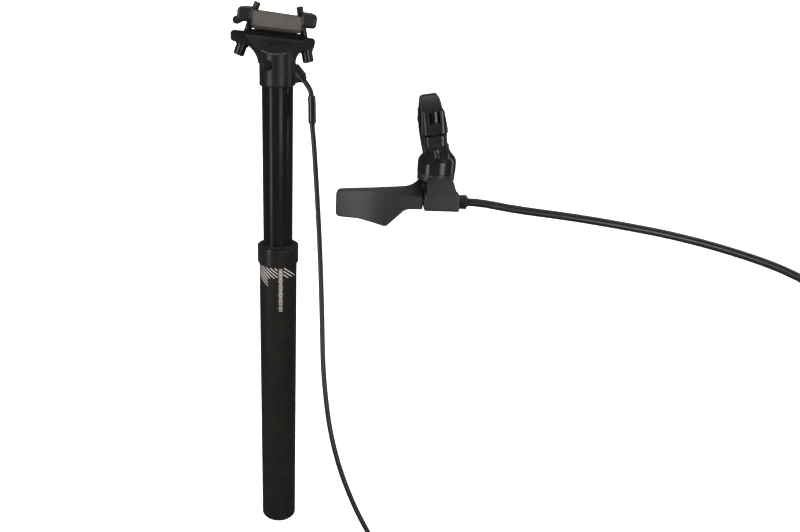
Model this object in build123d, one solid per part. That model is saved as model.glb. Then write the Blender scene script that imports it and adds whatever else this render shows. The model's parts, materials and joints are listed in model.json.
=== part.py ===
"""Height-adjustable (dropper) seatpost with its handlebar remote and cable, in millimetres.

Frame: origin on the post's axis at the lower end of the outer tube. +Z runs up the post, +X points
to the front of the bicycle and +Y to its left side. The post stands at full height.
"""
from build123d import *
from math import cos, pi, radians, sin, tan
import os

# ---------------------------------------------------------------- clearances
RUN = 0.05  # radial running clearance of sliding and turning fits
GAP = 0.3  # clearance between curved faces that only pass each other

# ---------------------------------------------------------------- outer tube
OUTER_OD = 31.6  # standard seat tube size
OUTER_WALL = 1.8
OUTER_LENGTH = 259.5  # up to the collar, which screws on the spigot above
SPIGOT_STEP = 0.7  # radial step down to the spigot that the collar screws on
SPIGOT_LENGTH = 8.5
KEY_WIDTH = 3.0
KEY_LENGTH = 18.0
KEY_COUNT = 3
KEY_POCKET = 0.7  # depth of a key's pocket in the inner tube
KEY_GROOVE = 0.9  # depth of a key's groove in the outer tube
KEY_GROOVE_BOTTOM = 20.0

# ---------------------------------------------------------------- inner tube and head
INNER_OD = 24.4
INNER_WALL = 1.5
EXPOSED = 128.7  # bare inner tube above the collar at full height
INNER_BURIED = 124.8  # inner tube below the collar's top at full height
SOCKET_DEPTH = 9.3  # inner tube inside the head
NECK_WALL = 1.75
NECK_HEIGHT = 28.3
NECK_ROUND = 1.2  # round of the neck's lower rim
HEAD_CAVITY_HEIGHT = 10.5

# ---------------------------------------------------------------- collar, seals and bushings
COLLAR_STEP = 1.35  # radial step up from the outer tube to the collar
COLLAR_CHAMFER = 1.0
COLLAR_FLANGE = 3.6
WIPER_DEPTH = 3.2
WIPER_LIP = 1.4
WIPER_SEAT = 2.6  # radial depth of the wiper's seat
FOAM_HEIGHT = 5.0
UPPER_BUSHING_LENGTH = 22.0
LOWER_BUSHING_LENGTH = 20.0
BUSHING_SPLIT = 1.2

# ---------------------------------------------------------------- gas cartridge
CARTRIDGE_ROOM = 0.9  # radial room between the cartridge and the inner tube
CARTRIDGE_WALL = 1.55
CARTRIDGE_LENGTH = 248.0
SPACER_LENGTH = 14.8
FLANGE_ROOM = 0.2
CARTRIDGE_FLANGE = 3.0
GLAND_LENGTH = 14.0
VALVE_HEAD_LENGTH = 20.0
PISTON_LENGTH = 12.0
PISTON_GAP = 10.0  # from the gland's top to the piston at full height
ROD_R = 4.0
RELEASE_PIN_R = 1.5
RELEASE_PIN_RISE = 4.2  # top of the pin above the inner tube
RELEASE_PIN_LENGTH = 26.0
SNAP_RING_WIRE = 1.2
BOTTOM_CAP_LIFT = 1.5
BOTTOM_CAP_HEIGHT = 12.0
BUMPER_R = 8.5
BUMPER_HEIGHT = 9.0
ROD_BOLT_R = 2.5
ROD_BOLT_HEAD_R = 4.5
ROD_BOLT_HEAD = 3.0
ROD_BOLT_LENGTH = 20.0
WASHER = 1.0

# ---------------------------------------------------------------- saddle clamp
CLAMP_TILT = 6.0  # nose-down tilt of the whole clamp against the post
CLAMP_CENTRE_HEIGHT = 48.6  # tilt axis above the neck's lower end
SEAT_R = 25.0  # radius of the cradle's round underside
RAIL_R = 3.5
RAIL_SPACING = 44.0
RAIL_DROP = 9.0  # rail centre below the tilt axis
CLAMP_SPLIT = 0.9  # half the gap between cradle and upper clamp
JAW_OVERHANG = 5.8  # jaw beyond the rail's centre, sideways
JAW_LIP = 3.1  # near lips stop this far above and below the rail's centre
CRADLE_CORE_WIDTH = 30.0
CRADLE_WING_HEIGHT = 8.5
UPPER_JAW_LENGTH = 37.0
UPPER_TOP = 3.4  # top of the upper clamp above the tilt axis
SHOULDER_X = 22.8  # middle of the rounded shoulders at the clamp's ends
SHOULDER_SIZE = (11.2, 10.0)
SHOULDER_ROUND = 3.0
SHOULDER_EDGE = 2.4
TONGUE = (15.8, 11.2)  # half sizes of the cradle's tongue, which the upper clamp's pocket takes
TONGUE_TOP = 6.1  # top of the tongue below the tilt axis
POCKET_PLAY = 0.6
LIP_PLACE = (-28.3, -3.4)
LIP_R = 3.0
JAW_INSET = 1.5  # the jaws' side faces, in from the shoulders' ends
BOLT_X = 24.6  # bolt head's bearing face from the clamp's middle
BOLT_DROP = 21.8  # bolt head's bearing face below the tilt axis
BOLT_LEAN = 16.1  # degrees that each bolt leans inwards
BOLT_R = 2.5
BOLT_LENGTH = 33.0
BOLT_TIP_BORE_R = 1.3  # blind bore in the bolt's tip
BOLT_EDGE = 0.7
BOLT_HEAD_R = 4.2
BOLT_HEAD = 7.4
BOLT_SOCKET_AF = 4.0
BOLT_SOCKET_DEPTH = 2.8
BOLT_HOLE_PLAY = 0.8
NUT_R = 4.8
NUT_WIDTH = 17.0
NUT_RISE = 23.2  # nut centre above the bolt head, along the bolt
NUT_PLAY = 0.75  # the nut's room in the upper clamp, taken up by the tilt
EAR_TIPS = {-1: 33.4, 1: 29.9}  # how far each ear reaches to its side, rear and front
EAR_TOP = 11.5
EAR_THICK = 7.5
EAR_WIDTH = 16.0
UNDERSIDES = {
    -1: ((-20.5, -20.8), (-14.6, -25.4), (-11.0, -33.0)),
    1: ((21.5, -20.4), (18.2, -23.9), (17.0, -28.9)),
}  # start, middle and end of the hollow under each ear
TILT_WASHER_R = 4.9
TILT_WASHER = 2.4
TILT_SLOT = 8.6

# ---------------------------------------------------------------- cable at the head
MOUTH_PLACE = (6.05, -5.0, -4.8)  # ferrule's mouth: out from the neck, across, up from the inner tube
FERRULE_WAY = (4.3, -1.9, -5.2)  # the way the housing leaves the ferrule
FERRULE_OD = 6.5
FERRULE_LENGTH = 6.0
STOP_BOSS_R = 4.3
STOP_BOSS_LENGTH = 9.0
STOP_FOOT = 2.0  # foot of the cable stop's web above the neck's lower end
STOP_WEB = 6.4  # thickness of the web between the neck and the cable stop
WIRE_R = 0.6
HOUSING_OD = 4.0
SLEEVE_OD = 6.1
SLEEVE_LENGTH = 21.4
ACTUATOR_EDGE = 3.5  # pivot and nipple axes, in from the head cavity's wall
ACTUATOR_PIVOT_RISE = 6.5  # pivot axis above the inner tube
ACTUATOR_SIDES = (-5.0, 3.0)  # the arm, across the post
ACTUATOR_THICK = 3.4
ACTUATOR_HUB_R = 2.6
PIVOT_SCREW_R = 1.25
PIVOT_SCREW_HEAD_R = 3.1
PIVOT_SCREW_HEAD = 1.6
PIVOT_RECESS_R = 3.5
PIVOT_RECESS_FACE = 9.6  # floor of the screw's recess, from the post's axis
NIPPLE_Y = -3.0

# ---------------------------------------------------------------- remote
REMOTE_AT = (81.0, -205.0, 386.0)  # lever pivot axis, at the top of the lever's drum
REMOTE_YAW = -6.5
BAR_R = 11.1
RING_WALL = 3.7
RING_WIDTH = 11.0
RING_LEAN = -8.5  # lean of the bar clamp against the lever's axis
RING_BACK = 8.0
RING_LIFT = 10.5  # lowest point of the bar above the lever's axis origin
RING_SPLIT = 0.4
LUG_WIDTH = 12.0
LUG_FRONT = 14.0
LUG_ROUND = 3.0
LUG_HEIGHT = 11.0
HINGE_PIN_R = 1.5
HINGE_REACH = 7.4  # hinge pin behind the bar
HINGE_R = 3.6
CLAMP_BOLT_R = 2.0
CLAMP_BOLT_HEAD_R = 3.15
CLAMP_BOLT_HEAD = 5.4
CHANNEL = 5.0  # slot in the cap's front that shows the clamp bolt's head
BELL_R = 9.4
# radius and height of the perch's bell-shaped foot
BELL = [(9.4, 4.2), (9.2, 5.4), (8.5, 6.8), (7.2, 8.2), (6.1, 9.6), (5.4, 11.2), (5.1, 13.0)]
DRUM_DROP = 1.0
BASE_DROP = 4.5
HUB_BOTTOM = 17.4
HUB_R = 6.2
PIVOT_BOLT_R = 3.0
PIVOT_HEAD_R = 5.0
PIVOT_HEAD = 2.5
BUSH_R = 4.2
BLOCK_SIZE = (17.0, 9.5, 8.2)
BLOCK_ROUND = 1.0
BLOCK_CENTRE = (2.5, -11.0, -13.3)
BARREL_R = 3.5
BARREL_FLANGE = 3.2
BARREL_STUD_R = 2.4
LEVER_FRONT = [(-49.0, -17.6), (-44.0, -16.6), (-38.0, -15.1), (-31.0, -13.6), (-22.0, -13.0), (-6.5, -13.0)]
LEVER_BACK = [
    (-6.5, 6.0),
    (-8.2, 3.4),
    (-9.8, 0.6),
    (-12.8, -3.0),
    (-19.5, -6.0),
    (-34.6, -11.0),
    (-49.0, -14.6),
]
LEVER_OUTLINE = [
    (-6.5, -4.9),
    (-15.0, -7.2),
    (-49.0, -7.2),
    (-49.0, -20.6),
    (-38.0, -22.2),
    (-24.0, -26.8),
    (-14.6, -17.4),
    (-6.5, -17.2),
]  # x and z of the paddle, seen from the front
LEVER_ROUNDS = [0.5, 6.0, 2.6, 2.6, 8.0, 2.4, 5.0, 0.5]  # rounds of the outline's corners
# three points of the paddle's sloping top
LEVER_TOP = [(-46.0, -17.0, -7.8), (-8.0, -13.0, -11.0), (-8.0, 5.0, -5.5)]
ANCHOR_R = 1.6
LEVER_ROOT = -6.5
PIVOT_THREAD_TOP = 7.0
BARREL_IN = 4.0
BARREL_FLUTES = 10
FERRULE_BORE_R = 2.5
NIPPLE_R = 1.5
NIPPLE_WIDTH = 4.0

# ---------------------------------------------------------------- derived places
OUTER_R = OUTER_OD / 2
BORE_R = OUTER_R - OUTER_WALL
SPIGOT_R = OUTER_R - SPIGOT_STEP
COLLAR_R = OUTER_R + COLLAR_STEP
INNER_R = INNER_OD / 2
INNER_BORE_R = INNER_R - INNER_WALL
NECK_R = INNER_R + NECK_WALL
SPIGOT_TOP = OUTER_LENGTH + SPIGOT_LENGTH
WIPER_BOTTOM = SPIGOT_TOP + COLLAR_FLANGE
COLLAR_TOP = WIPER_BOTTOM + WIPER_DEPTH
NECK_BOTTOM = COLLAR_TOP + EXPOSED
INNER_BOTTOM = COLLAR_TOP - INNER_BURIED
INNER_TOP = NECK_BOTTOM + SOCKET_DEPTH
CENTRE_Z = NECK_BOTTOM + CLAMP_CENTRE_HEIGHT
LOWER_BUSHING_BOTTOM = INNER_BOTTOM + 2.0
KEY_BOTTOM = LOWER_BUSHING_BOTTOM + LOWER_BUSHING_LENGTH + 4.0
UPPER_BUSHING_BOTTOM = OUTER_LENGTH - UPPER_BUSHING_LENGTH
CAP_TOP = BOTTOM_CAP_LIFT + BOTTOM_CAP_HEIGHT
RAIL_Y = RAIL_SPACING / 2
CLAMP_HALF_WIDTH = RAIL_Y + JAW_OVERHANG
HOUSING_R = HOUSING_OD / 2
CARTRIDGE_R = INNER_BORE_R - CARTRIDGE_ROOM
CARTRIDGE_BORE_R = CARTRIDGE_R - CARTRIDGE_WALL
CARTRIDGE_FLANGE_R = INNER_BORE_R - FLANGE_ROOM
HEAD_CAVITY_R = CARTRIDGE_FLANGE_R
CARTRIDGE_TOP = INNER_TOP - SPACER_LENGTH
CARTRIDGE_BOTTOM = CARTRIDGE_TOP - CARTRIDGE_LENGTH
GLAND_TOP = CARTRIDGE_BOTTOM + GLAND_LENGTH
PISTON_BOTTOM = GLAND_TOP + PISTON_GAP
RELEASE_PIN_TOP = INNER_TOP + RELEASE_PIN_RISE
ACTUATOR_PIVOT_X = ACTUATOR_EDGE - HEAD_CAVITY_R
ACTUATOR_PIVOT_Z = INNER_TOP + ACTUATOR_PIVOT_RISE
BOLT_HOLE_R = BOLT_R + BOLT_HOLE_PLAY
FERRULE_MOUTH = (NECK_R + MOUTH_PLACE[0], MOUTH_PLACE[1], INNER_TOP + MOUTH_PLACE[2])
RING_R = BAR_R + RING_WALL
RING_HEIGHT = BAR_R + RING_LIFT
HINGE_BACK = RING_BACK + BAR_R + HINGE_REACH


# ---------------------------------------------------------------- cable route
HEAD_ROUTE = [
    (0.0, 0.0, 0.0),
    (4.3, -1.9, -5.2),
    (6.3, -3.6, -11.5),
    (6.42, -9.9, -33.1),
    (7.6, -13.5, -42.0),
    (10.0, -26.0, -77.0),
    (12.6, -42.0, -122.0),
    (14.2, -58.0, -169.0),
    (15.2, -74.0, -216.0),
    (22.2, -90.0, -266.0),
]  # the moving post carries these, so they count from the ferrule's mouth
FREE_ROUTE = [
    (59.0, -109.5, 96.0),
    (84.0, -122.0, 54.0),
    (119.0, -138.0, 22.0),
    (166.0, -158.0, 9.0),
    (219.0, -178.0, 15.0),
    (270.0, -198.0, 42.0),
    (309.0, -214.0, 84.0),
    (333.0, -225.0, 138.0),
    (341.0, -233.0, 196.0),
    (334.0, -238.0, 254.0),
    (306.0, -239.0, 304.0),
    (261.0, -236.0, 339.0),
    (206.0, -230.5, 357.0),
    (152.0, -225.0, 366.2),
    (117.6, -220.24, 369.6),
    (100.7, -218.32, 372.7),
    (94.758, -217.638, 372.7),
]
HEAD_POINTS = len(HEAD_ROUTE)
ROUTE = [tuple(a + b for a, b in zip(FERRULE_MOUTH, step)) for step in HEAD_ROUTE] + FREE_ROUTE


# ---------------------------------------------------------------- helpers
def rod(radius, bottom, top):
    """A cylinder round the post's axis between two heights."""
    return Pos(0, 0, bottom) * Cylinder(radius, top - bottom, align=(Align.CENTER, Align.CENTER, Align.MIN))


def ring(outer, inner, bottom, top):
    """A plain tube round the post's axis between two heights."""
    return rod(outer, bottom, top) - rod(inner, bottom, top)


def box(low, high):
    """A box from its lowest to its highest corner."""
    size = [b - a for a, b in zip(low, high)]
    middle = [(a + b) / 2 for a, b in zip(low, high)]
    return Pos(*middle) * Box(*size)


def bar(start, end, radius):
    """A round bar between two points."""
    start, end = Vector(*start), Vector(*end)
    plane = Plane(origin=start, z_dir=end - start)
    return plane * Cylinder(radius, (end - start).length, align=(Align.CENTER, Align.CENTER, Align.MIN))


def cross_bar(x, z, radius, half_width, y=0.0):
    """A round bar across the object, along Y."""
    return Pos(x, y, z) * Rot(90, 0, 0) * Cylinder(radius, 2 * half_width)


def side_slab(points, half_width):
    """An outline in the X-Z plane, thickened to both sides along Y."""
    face = make_face(Polyline(*[(x, 0, z) for x, z in points], close=True))
    return extrude(face, amount=half_width, dir=(0, 1, 0), both=True)


def turned(profile):
    """A turned piece: an outline of radius and height, spun round the Z axis."""
    face = make_face(Polyline(*[(r, 0, z) for r, z in profile], close=True))
    return revolve(face, Axis.Z, 360)


def hexagon_pocket(across_flats, depth):
    """A hexagon socket that opens at z = 0 and goes down."""
    return extrude(RegularPolygon(across_flats / 2, 6, major_radius=False), amount=-depth)


def in_clamp(shape):
    """Place a shape drawn about the tilt axis: tilt it and lift it to the clamp."""
    return Pos(0, 0, CENTRE_Z) * Rot(0, CLAMP_TILT, 0) * shape


def in_remote(shape):
    """Place a shape drawn about the lever's pivot axis."""
    return Pos(*REMOTE_AT) * Rot(0, 0, REMOTE_YAW) * shape


def around(count, shape):
    """Copies of a shape, evenly round the post's axis."""
    return [Rot(0, 0, index * 360 / count) * shape for index in range(count)]


# ---------------------------------------------------------------- lower post
def key_groove():
    half = KEY_WIDTH / 2 + RUN
    depth = BORE_R + KEY_GROOVE
    return box((BORE_R - 1, -half, KEY_GROOVE_BOTTOM), (depth, half, UPPER_BUSHING_BOTTOM))


def outer_tube():
    body = rod(OUTER_R, 0, OUTER_LENGTH) + rod(SPIGOT_R, OUTER_LENGTH, SPIGOT_TOP)
    body -= rod(BORE_R, 0, SPIGOT_TOP)
    for groove in around(KEY_COUNT, key_groove()):
        body -= groove
    return body


def seal_collar():
    body = rod(COLLAR_R, OUTER_LENGTH, COLLAR_TOP)
    body = chamfer(body.edges().filter_by(GeomType.CIRCLE).group_by(Axis.Z)[0], COLLAR_CHAMFER)
    body = fillet(body.edges().filter_by(GeomType.CIRCLE).group_by(Axis.Z)[-1], COLLAR_CHAMFER / 2)
    body -= rod(SPIGOT_R, OUTER_LENGTH, SPIGOT_TOP)
    body -= rod(INNER_R + GAP, SPIGOT_TOP, WIPER_BOTTOM)
    return body - rod(INNER_R + WIPER_SEAT, WIPER_BOTTOM, COLLAR_TOP)


def wiper_seal():
    seat_r = INNER_R + WIPER_SEAT
    body = rod(seat_r, WIPER_BOTTOM, COLLAR_TOP)
    lip = Cone(seat_r - 1.2, INNER_R + 0.6, WIPER_LIP, align=(Align.CENTER, Align.CENTER, Align.MIN))
    return body + Pos(0, 0, COLLAR_TOP) * lip - rod(INNER_R + RUN, WIPER_BOTTOM, COLLAR_TOP + WIPER_LIP)


def foam_ring():
    return ring(BORE_R, INNER_R + GAP, OUTER_LENGTH + 0.5, OUTER_LENGTH + 0.5 + FOAM_HEIGHT)


def split_bushing(inner, outer, bottom, length):
    body = ring(outer, inner, bottom, bottom + length)
    return body - box((0, -BUSHING_SPLIT / 2, bottom), (outer + 1, BUSHING_SPLIT / 2, bottom + length))


def upper_bushing():
    return split_bushing(INNER_R + RUN, BORE_R, UPPER_BUSHING_BOTTOM, UPPER_BUSHING_LENGTH)


def bottom_cap():
    body = rod(BORE_R, BOTTOM_CAP_LIFT, CAP_TOP)
    body -= rod(ROD_BOLT_R + GAP, BOTTOM_CAP_LIFT, CAP_TOP)
    return body - rod(ROD_BOLT_HEAD_R + 1.5, BOTTOM_CAP_LIFT, BOTTOM_CAP_LIFT + ROD_BOLT_HEAD + WASHER + 1)


def rod_washer():
    top = BOTTOM_CAP_LIFT + ROD_BOLT_HEAD + WASHER + 1
    return ring(ROD_BOLT_HEAD_R + 1, ROD_BOLT_R + GAP, top - WASHER, top)


def rod_bolt():
    under = BOTTOM_CAP_LIFT + ROD_BOLT_HEAD + 1
    body = rod(ROD_BOLT_HEAD_R, under - ROD_BOLT_HEAD, under)
    body += rod(ROD_BOLT_R, under, under + ROD_BOLT_LENGTH)
    return body - Pos(0, 0, under - ROD_BOLT_HEAD) * Rot(180, 0, 0) * hexagon_pocket(BOLT_SOCKET_AF, 2.0)


def bottom_bumper():
    return fillet_ends(rod(BUMPER_R, CAP_TOP, CAP_TOP + BUMPER_HEIGHT), 1.0) - rod(ROD_R, 0, INNER_BOTTOM)


def fillet_ends(body, radius):
    """Round the circular edges at both ends of an upright cylinder."""
    return fillet(body.edges().filter_by(GeomType.CIRCLE), radius)


def piston_rod():
    bolt_top = BOTTOM_CAP_LIFT + ROD_BOLT_HEAD + 1 + ROD_BOLT_LENGTH
    return rod(ROD_R, CAP_TOP, PISTON_BOTTOM + PISTON_LENGTH / 2) - rod(ROD_BOLT_R, CAP_TOP, bolt_top)


def gas_piston():
    body = rod(CARTRIDGE_BORE_R - RUN, PISTON_BOTTOM, PISTON_BOTTOM + PISTON_LENGTH)
    body -= rod(ROD_R, PISTON_BOTTOM, PISTON_BOTTOM + PISTON_LENGTH / 2)
    middle = PISTON_BOTTOM + PISTON_LENGTH / 2
    return body - ring(CARTRIDGE_BORE_R, CARTRIDGE_BORE_R - 1.5, middle - 1, middle + 1)


def piston_ring():
    middle = PISTON_BOTTOM + PISTON_LENGTH / 2
    return ring(CARTRIDGE_BORE_R - RUN, CARTRIDGE_BORE_R - 1.5, middle - 1, middle + 1)


# ---------------------------------------------------------------- upper post
def key_block():
    half = KEY_WIDTH / 2
    inside = INNER_R - KEY_POCKET
    outside = BORE_R + KEY_GROOVE - RUN * 2
    return box((inside, -half, KEY_BOTTOM), (outside, half, KEY_BOTTOM + KEY_LENGTH))


def guide_keys():
    return Compound(children=[Part() + key for key in around(KEY_COUNT, key_block())])


def inner_tube():
    body = ring(INNER_R, INNER_BORE_R, INNER_BOTTOM, INNER_TOP)
    for key in around(KEY_COUNT, key_block()):
        body -= key
    return body


def lower_bushing():
    return split_bushing(INNER_R, BORE_R - RUN, LOWER_BUSHING_BOTTOM, LOWER_BUSHING_LENGTH)


def cartridge_tube():
    body = ring(CARTRIDGE_R, CARTRIDGE_BORE_R, CARTRIDGE_BOTTOM, CARTRIDGE_TOP)
    return body + ring(CARTRIDGE_FLANGE_R, CARTRIDGE_BORE_R, CARTRIDGE_TOP - CARTRIDGE_FLANGE, CARTRIDGE_TOP)


def cartridge_gland():
    return ring(CARTRIDGE_BORE_R, ROD_R + RUN, CARTRIDGE_BOTTOM, GLAND_TOP)


def valve_head():
    body = rod(CARTRIDGE_BORE_R, CARTRIDGE_TOP - VALVE_HEAD_LENGTH, CARTRIDGE_TOP)
    return body - rod(RELEASE_PIN_R + RUN, CARTRIDGE_TOP - VALVE_HEAD_LENGTH, CARTRIDGE_TOP)


def cartridge_spacer():
    """Sleeve between the cartridge's flange and the head, which carries the gas spring's push."""
    return ring(CARTRIDGE_FLANGE_R, RELEASE_PIN_R + 3, CARTRIDGE_TOP, INNER_TOP)


def snap_ring():
    top = CARTRIDGE_TOP - CARTRIDGE_FLANGE
    body = ring(INNER_BORE_R, CARTRIDGE_R + 0.1, top - SNAP_RING_WIRE, top)
    return body - box((0, -2.5, top - SNAP_RING_WIRE), (INNER_R, 2.5, top))


def release_pin():
    dome = RELEASE_PIN_TOP - RELEASE_PIN_R
    body = rod(RELEASE_PIN_R, RELEASE_PIN_TOP - RELEASE_PIN_LENGTH, dome)
    return body + Pos(0, 0, dome) * Sphere(RELEASE_PIN_R)


# ---------------------------------------------------------------- post head
def cable_axis(distance):
    """A point on the cable stop's axis, so far beyond the ferrule's mouth."""
    return Vector(*FERRULE_MOUTH) + Vector(*FERRULE_WAY).normalized() * distance


def nipple_centre():
    x = -ACTUATOR_PIVOT_X - ANCHOR_R
    return Vector(x, NIPPLE_Y, RELEASE_PIN_TOP + ACTUATOR_THICK / 2)


def bolt_foot(side):
    return Vector(side * BOLT_X, 0, -BOLT_DROP)


def bolt_point(side, distance):
    """A point on a clamp bolt's axis above the head's underside, in the clamp's frame."""
    lean = radians(BOLT_LEAN)
    return bolt_foot(side) + Vector(-side * sin(lean), 0, cos(lean)) * distance


def ear(side):
    """One of the two arms that a clamp bolt pulls on, with a hollow curve under it to the neck."""
    low = -EAR_TOP - EAR_THICK
    tip = side * EAR_TIPS[side]
    start, middle, end = UNDERSIDES[side]
    upper = [(end[0], end[1]), (side * 6, end[1]), (side * 6, -EAR_TOP), (tip - side * 1.2, -EAR_TOP)]
    lower = [(tip, -EAR_TOP - 1.5), (tip - side * 0.6, low + 1.0), (tip - side * 2.6, low), start]
    outline = Polyline(*[(x, 0, z) for x, z in upper + lower])
    hollow = ThreePointArc(*[(x, 0, z) for x, z in (start, middle, end)])
    body = extrude(make_face([outline, hollow]), amount=EAR_WIDTH / 2, dir=(0, 1, 0), both=True)
    body = in_clamp(body)
    tip_edges = body.edges().filter_by(Axis.Y).sort_by(Axis.X)
    chosen = tip_edges[-2:] if side > 0 else tip_edges[:2]
    return fillet(chosen, 0.5)


def stop_boss():
    body = bar(cable_axis(-STOP_BOSS_LENGTH - 3), cable_axis(-2.0), STOP_BOSS_R)
    x, y, z = FERRULE_MOUTH
    foot = NECK_BOTTOM + STOP_FOOT
    web = [(8, foot), (13, foot), (x - 2, z - 1.2), (x + 0.5, z + 3), (x - 6.5, z + 13)]
    return body + Pos(0, y + 1.5, 0) * side_slab(web + [(8, z + 18)], STOP_WEB / 2)


def post_head():
    body = rod(NECK_R, NECK_BOTTOM, NECK_BOTTOM + NECK_HEIGHT)
    body = fillet(body.edges().filter_by(GeomType.CIRCLE).group_by(Axis.Z)[0], NECK_ROUND)
    for side in (-1, 1):
        body += ear(side)
    body += stop_boss()
    body -= in_clamp(cross_bar(0, 0, SEAT_R + RUN, 30))
    body -= rod(INNER_R, NECK_BOTTOM, INNER_TOP)
    body -= rod(HEAD_CAVITY_R, INNER_TOP, INNER_TOP + HEAD_CAVITY_HEIGHT)
    for side in (-1, 1):
        body -= in_clamp(bar(bolt_point(side, -5), bolt_point(side, 20), BOLT_HOLE_R))
        body -= in_clamp(bar(bolt_point(side, -9), bolt_point(side, TILT_WASHER), TILT_SLOT / 2 + 1))
    body -= bar(cable_axis(-FERRULE_LENGTH), cable_axis(2), FERRULE_OD / 2)
    body -= bar(cable_axis(-20), cable_axis(0), WIRE_R + 1.4)
    body -= bar(nipple_centre(), cable_axis(-FERRULE_LENGTH), WIRE_R + 1.4)
    body -= pivot_bar(PIVOT_RECESS_R, -NECK_R - 5, -PIVOT_RECESS_FACE)
    return body - pivot_bar(PIVOT_SCREW_R, -NECK_R, NECK_R)


def pivot_bar(radius, near, far):
    """A round bar on the actuator's pivot axis."""
    x, z = ACTUATOR_PIVOT_X, ACTUATOR_PIVOT_Z
    return bar((x, near, z), (x, far, z), radius)


def head_ferrule():
    body = bar(cable_axis(-FERRULE_LENGTH), cable_axis(0), FERRULE_OD / 2)
    return body - bar(cable_axis(-FERRULE_LENGTH), cable_axis(0), WIRE_R + 0.4)


def actuator():
    near, far = ACTUATOR_SIDES
    tip = -ACTUATOR_PIVOT_X
    top = RELEASE_PIN_TOP + ACTUATOR_THICK
    body = box((ACTUATOR_PIVOT_X, near, RELEASE_PIN_TOP), (tip, far, top))
    body += pivot_bar(ACTUATOR_HUB_R, -far, far)
    body -= pivot_bar(PIVOT_SCREW_R + RUN, near, far)
    nipple = nipple_centre()
    body -= cross_bar(nipple.X, nipple.Z, NIPPLE_R, NIPPLE_WIDTH / 2, nipple.Y)
    return body - box((nipple.X, nipple.Y - 0.8, 0), (tip, nipple.Y + 0.8, top))


def actuator_screw():
    """Pivot screw of the actuator, with its head in the neck's recess."""
    face = -PIVOT_RECESS_FACE
    body = pivot_bar(PIVOT_SCREW_R, face, NECK_R - 2.5)
    body += pivot_bar(PIVOT_SCREW_HEAD_R, face - PIVOT_SCREW_HEAD, face)
    origin = (ACTUATOR_PIVOT_X, face - PIVOT_SCREW_HEAD, ACTUATOR_PIVOT_Z)
    return body - Plane(origin=origin, z_dir=(0, -1, 0)) * hexagon_pocket(2.5, 1.2)


def head_wire():
    """Bare inner wire from the nipple in the actuator's arm to the ferrule's mouth."""
    bend = cable_axis(-FERRULE_LENGTH - 0.4)
    start = nipple_centre() + Vector(NIPPLE_R + GAP, 0, 0)
    return bar(start, bend, WIRE_R) + Pos(*bend) * Sphere(WIRE_R) + bar(bend, cable_axis(-0.2), WIRE_R)


def wire_nipple():
    """Barrel nipple that hangs in the end of the actuator's arm."""
    nipple = nipple_centre()
    return cross_bar(nipple.X, nipple.Z, NIPPLE_R, NIPPLE_WIDTH / 2, nipple.Y)


# ---------------------------------------------------------------- saddle clamp
def rails(radius):
    """Both saddle rails' space, in the clamp's frame."""
    return [Pos(0, side * RAIL_Y, -RAIL_DROP) * Rot(0, 90, 0) * Cylinder(radius, 80) for side in (-1, 1)]


def bolt_slot(side, wide, half_width):
    """Room for a clamp bolt that leans in its slot, in the clamp's frame."""
    slot = Rot(0, -side * BOLT_LEAN, 0) * Box(wide, 2 * half_width, 60)
    return Pos(*bolt_point(side, BOLT_LENGTH / 2)) * slot


def rail_cradle():
    top = -RAIL_DROP - CLAMP_SPLIT
    section = [
        (-CLAMP_HALF_WIDTH, top),
        (-CLAMP_HALF_WIDTH, top - 4.4),
        (-RAIL_Y, top - CRADLE_WING_HEIGHT),
        (-CRADLE_CORE_WIDTH / 2, top - 14.6),
        (-CRADLE_CORE_WIDTH / 2, -SEAT_R - 1),
    ]
    outline = [(0, y, z) for y, z in section] + [(0, -y, z) for y, z in reversed(section)]
    body = extrude(make_face(Polyline(*outline, close=True)), amount=30, dir=(1, 0, 0), both=True)
    body &= cross_bar(0, 0, SEAT_R, 40)
    for rail in rails(RAIL_R):
        body -= rail
    for side in (-1, 1):
        low, high = sorted((side * RAIL_Y, side * 40))
        body -= box((-40, low, -RAIL_DROP - JAW_LIP), (40, high, 0))
        near, far = sorted((side * 16.0, side * 40))
        body -= box((near, -BOLT_HOLE_R - 1, -40), (far, BOLT_HOLE_R + 1, 0))
    half_x, half_y = TONGUE
    body += box((-half_x, -half_y, top - 2), (half_x, half_y, -TONGUE_TOP))
    return in_clamp(body)


def shoulder(side):
    """Rounded end of the upper clamp, across its full width."""
    width, height = SHOULDER_SIZE
    face = Plane.XZ * RectangleRounded(width, height, SHOULDER_ROUND)
    body = extrude(face, amount=CLAMP_HALF_WIDTH, both=True)
    ends = body.faces().filter_by(Axis.Y)
    return Pos(side * SHOULDER_X, 0, UPPER_TOP - 2.3) * fillet(ends.edges(), SHOULDER_EDGE)


def nut_cradle(side):
    """Room for a barrel nut, open at the top."""
    nut = bolt_point(side, NUT_RISE)
    radius = NUT_R + NUT_PLAY
    half = NUT_WIDTH / 2 + GAP
    slot = box((nut.X - radius, -half, nut.Z), (nut.X + radius, half, nut.Z + 20))
    return cross_bar(nut.X, nut.Z, radius, half) + slot


def upper_clamp():
    bottom = -RAIL_DROP + CLAMP_SPLIT
    half = UPPER_JAW_LENGTH / 2
    outline = [(-half, bottom), (-half, UPPER_TOP + 0.8), (half, UPPER_TOP - 0.4), (half, bottom)]
    body = side_slab(outline, CLAMP_HALF_WIDTH - JAW_INSET)
    for side in (-1, 1):
        body += shoulder(side)
    body += cross_bar(*LIP_PLACE, LIP_R, CLAMP_HALF_WIDTH - JAW_INSET)
    for rail in rails(RAIL_R):
        body -= rail
    for side in (-1, 1):
        low, high = sorted((side * RAIL_Y, side * 40))
        body -= box((-40, low, -40), (40, high, -RAIL_DROP + JAW_LIP))
        body -= nut_cradle(side)
        body -= bolt_slot(side, 2 * (BOLT_R + 1.9), BOLT_R + 0.6)
    half_x, half_y = [size + POCKET_PLAY for size in TONGUE]
    body -= box((-half_x, -half_y, bottom - 1), (half_x, half_y, -TONGUE_TOP + POCKET_PLAY))
    return in_clamp(body)


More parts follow.
